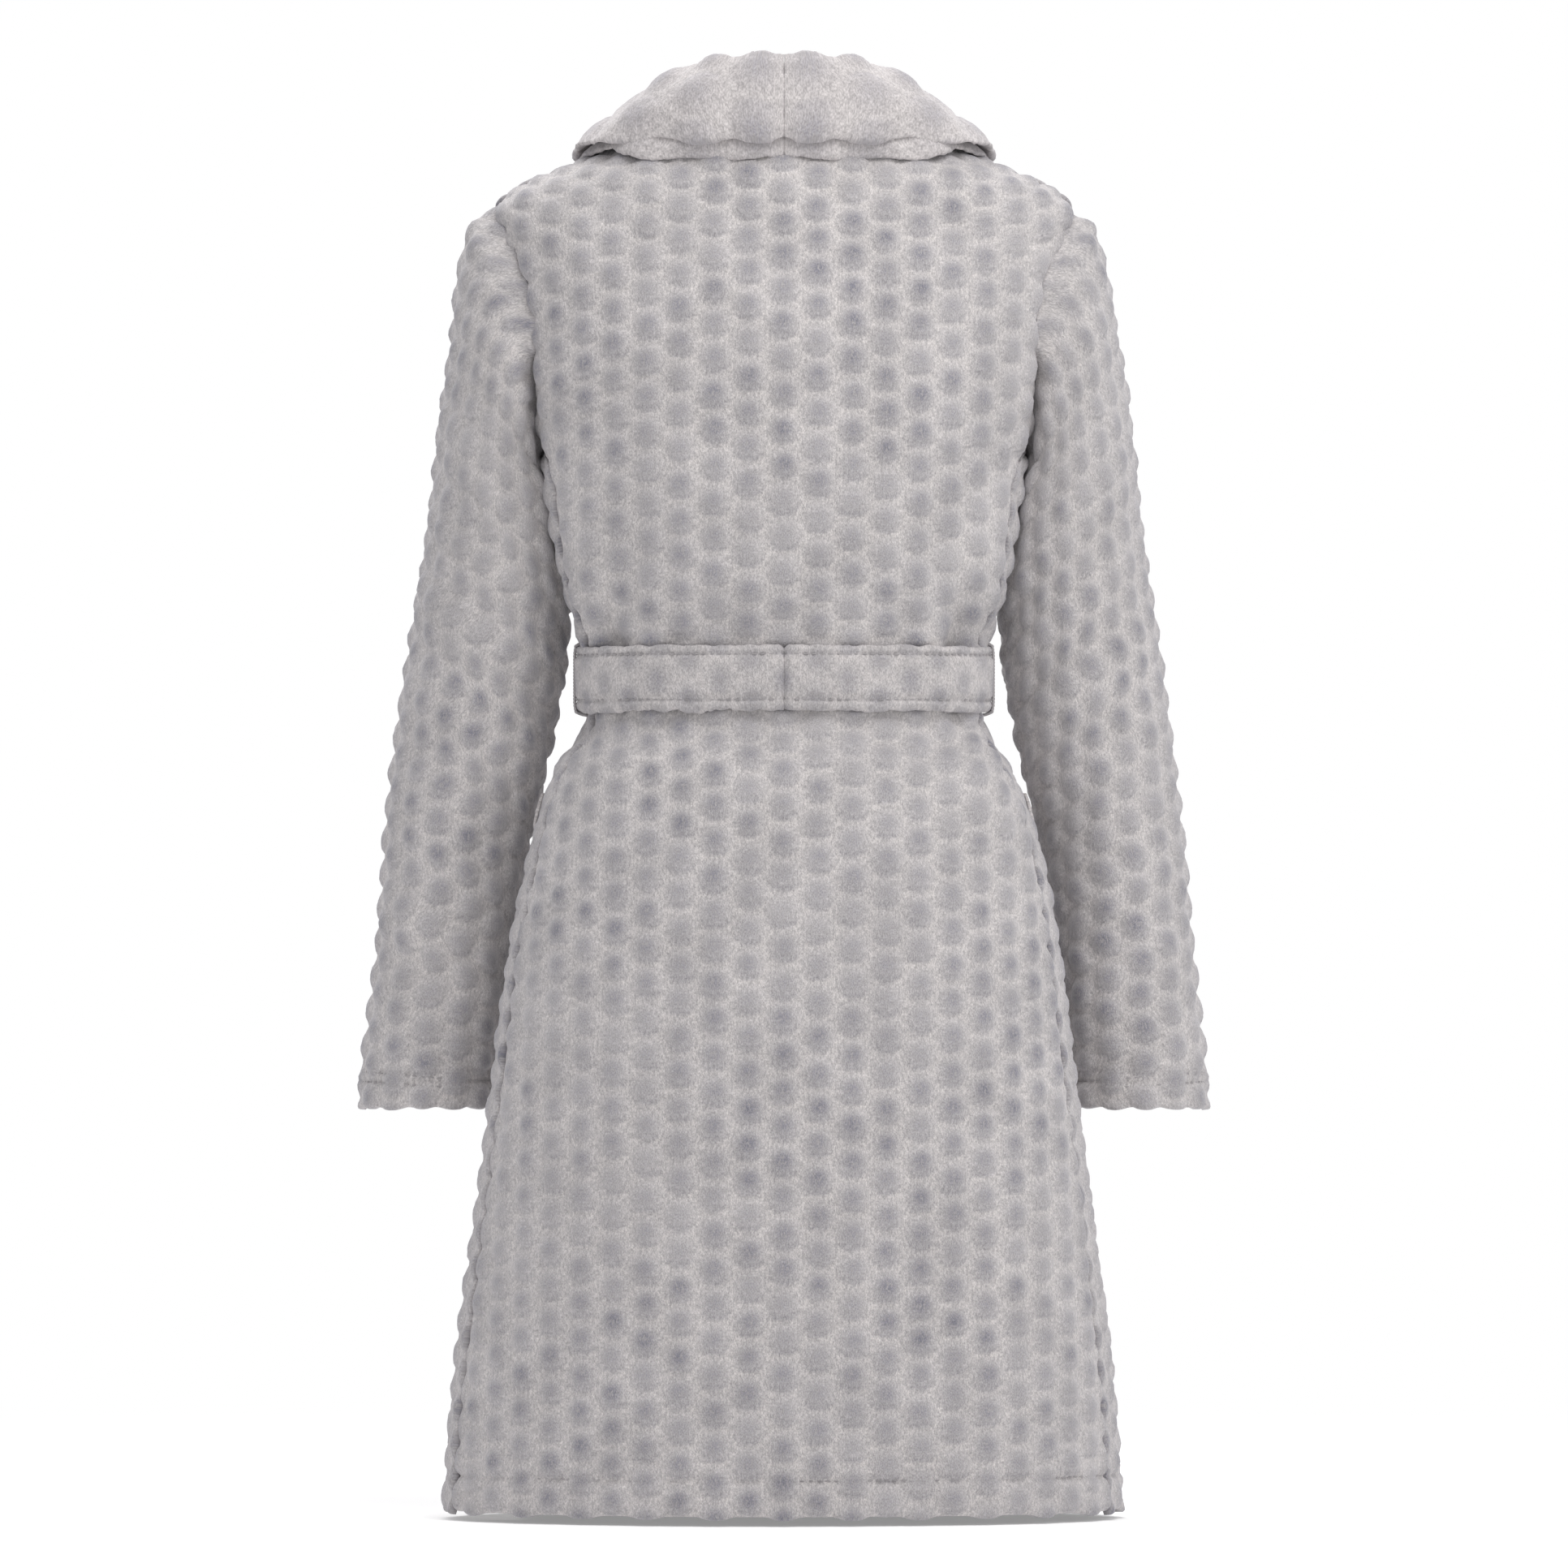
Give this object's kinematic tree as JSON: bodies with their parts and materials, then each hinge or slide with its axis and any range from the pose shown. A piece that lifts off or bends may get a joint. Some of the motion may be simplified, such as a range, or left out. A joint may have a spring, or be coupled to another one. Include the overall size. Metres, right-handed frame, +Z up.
{
  "type": "bathrobe",
  "caption": "Knee-length embossed fleece bathrobe with a turned-down shawl collar, long sleeves, patch pockets, a waist belt tied in front and a hanger loop.",
  "frame": {"origin": "on the plane of the hem's lower edge, below the middle of the body", "axes": "+Z up along the standing robe, -Y towards the front opening, +X towards the wearer's left sleeve"},
  "size_m": [0.605, 0.3005, 1.0295],
  "materials": {
    "fleece": "soft grey coral fleece embossed with round bubbles",
    "collar_fleece": "lighter grey coral fleece with large faint bubbles",
    "belt_fleece": "grey coral fleece, pile lying downwards",
    "inner_fleece": "short-pile back of the fleece",
    "thread": "matt polyester thread",
    "tape": "plain woven tape",
    "label": "blank satin label"
  },
  "bodies": {
    "torso": {"back_panel": "fleece", "left_front_panel": "fleece", "right_front_panel": "fleece", "left_upper_collar": "collar_fleece", "right_upper_collar": "collar_fleece", "left_under_collar": "collar_fleece", "right_under_collar": "collar_fleece", "left_front_facing": "inner_fleece", "left_pocket": "fleece", "right_pocket": "fleece", "left_pocket_band": "collar_fleece", "right_pocket_band": "collar_fleece", "left_belt_loop": "thread", "right_belt_loop": "thread", "neck_tape": "tape", "neck_label": "label", "left_shoulder_tape": "tape", "right_shoulder_tape": "tape", "back_hem_fold": "inner_fleece", "left_front_hem_fold": "inner_fleece", "right_front_hem_fold": "inner_fleece", "back_hem_stitching": "thread"},
    "left_sleeve": {"left_sleeve": "fleece", "left_cuff_fold": "inner_fleece", "left_cuff_stitching": "thread"},
    "right_sleeve": {"right_sleeve": "fleece", "right_cuff_fold": "inner_fleece", "right_cuff_stitching": "thread"},
    "front_flap": {"right_front_flap": "fleece", "right_front_facing": "inner_fleece"},
    "belt": {"belt_left_half": "belt_fleece", "belt_right_half": "belt_fleece", "belt_stitching": "thread", "belt_knot": "belt_fleece"},
    "left_belt_end": {"left_belt_end": "belt_fleece"},
    "right_belt_end": {"right_belt_end": "belt_fleece"},
    "hanger_loop": {"hanger_loop": "tape"}
  },
  "joints": [
    {"name": "left_sleeve_swing", "type": "hinge", "parent": "torso", "child": "left_sleeve", "pos_m": [0.2015, 0, 0.916], "axis": [0, -1, 0], "range_deg": [0, 70]},
    {"name": "right_sleeve_swing", "type": "hinge", "parent": "torso", "child": "right_sleeve", "pos_m": [-0.2015, 0, 0.916], "axis": [0, 1, 0], "range_deg": [0, 70]},
    {"name": "front_flap_swing", "type": "hinge", "parent": "torso", "child": "front_flap", "pos_m": [0.005, -0.157, 0], "axis": [-0.199, -0.121, -0.9725], "range_deg": [0, 60]},
    {"name": "belt_slide", "type": "slide", "parent": "torso", "child": "belt", "axis": [0, 0, 1], "range_m": [-0.006, 0.006]},
    {"name": "left_belt_end_swing", "type": "hinge", "parent": "belt", "child": "left_belt_end", "pos_m": [0.002, -0.117, 0.553], "axis": [0, 0.9952, -0.0976], "range_deg": [0, 20]},
    {"name": "right_belt_end_swing", "type": "hinge", "parent": "belt", "child": "right_belt_end", "pos_m": [-0.02, -0.1095, 0.553], "axis": [0, 0.9952, -0.0976], "range_deg": [0, 20]},
    {"name": "hanger_loop_swing", "type": "hinge", "parent": "torso", "child": "hanger_loop", "pos_m": [0, 0.038, 0.975], "axis": [-1, 0, 0], "range_deg": [0, 100]}
  ]
}
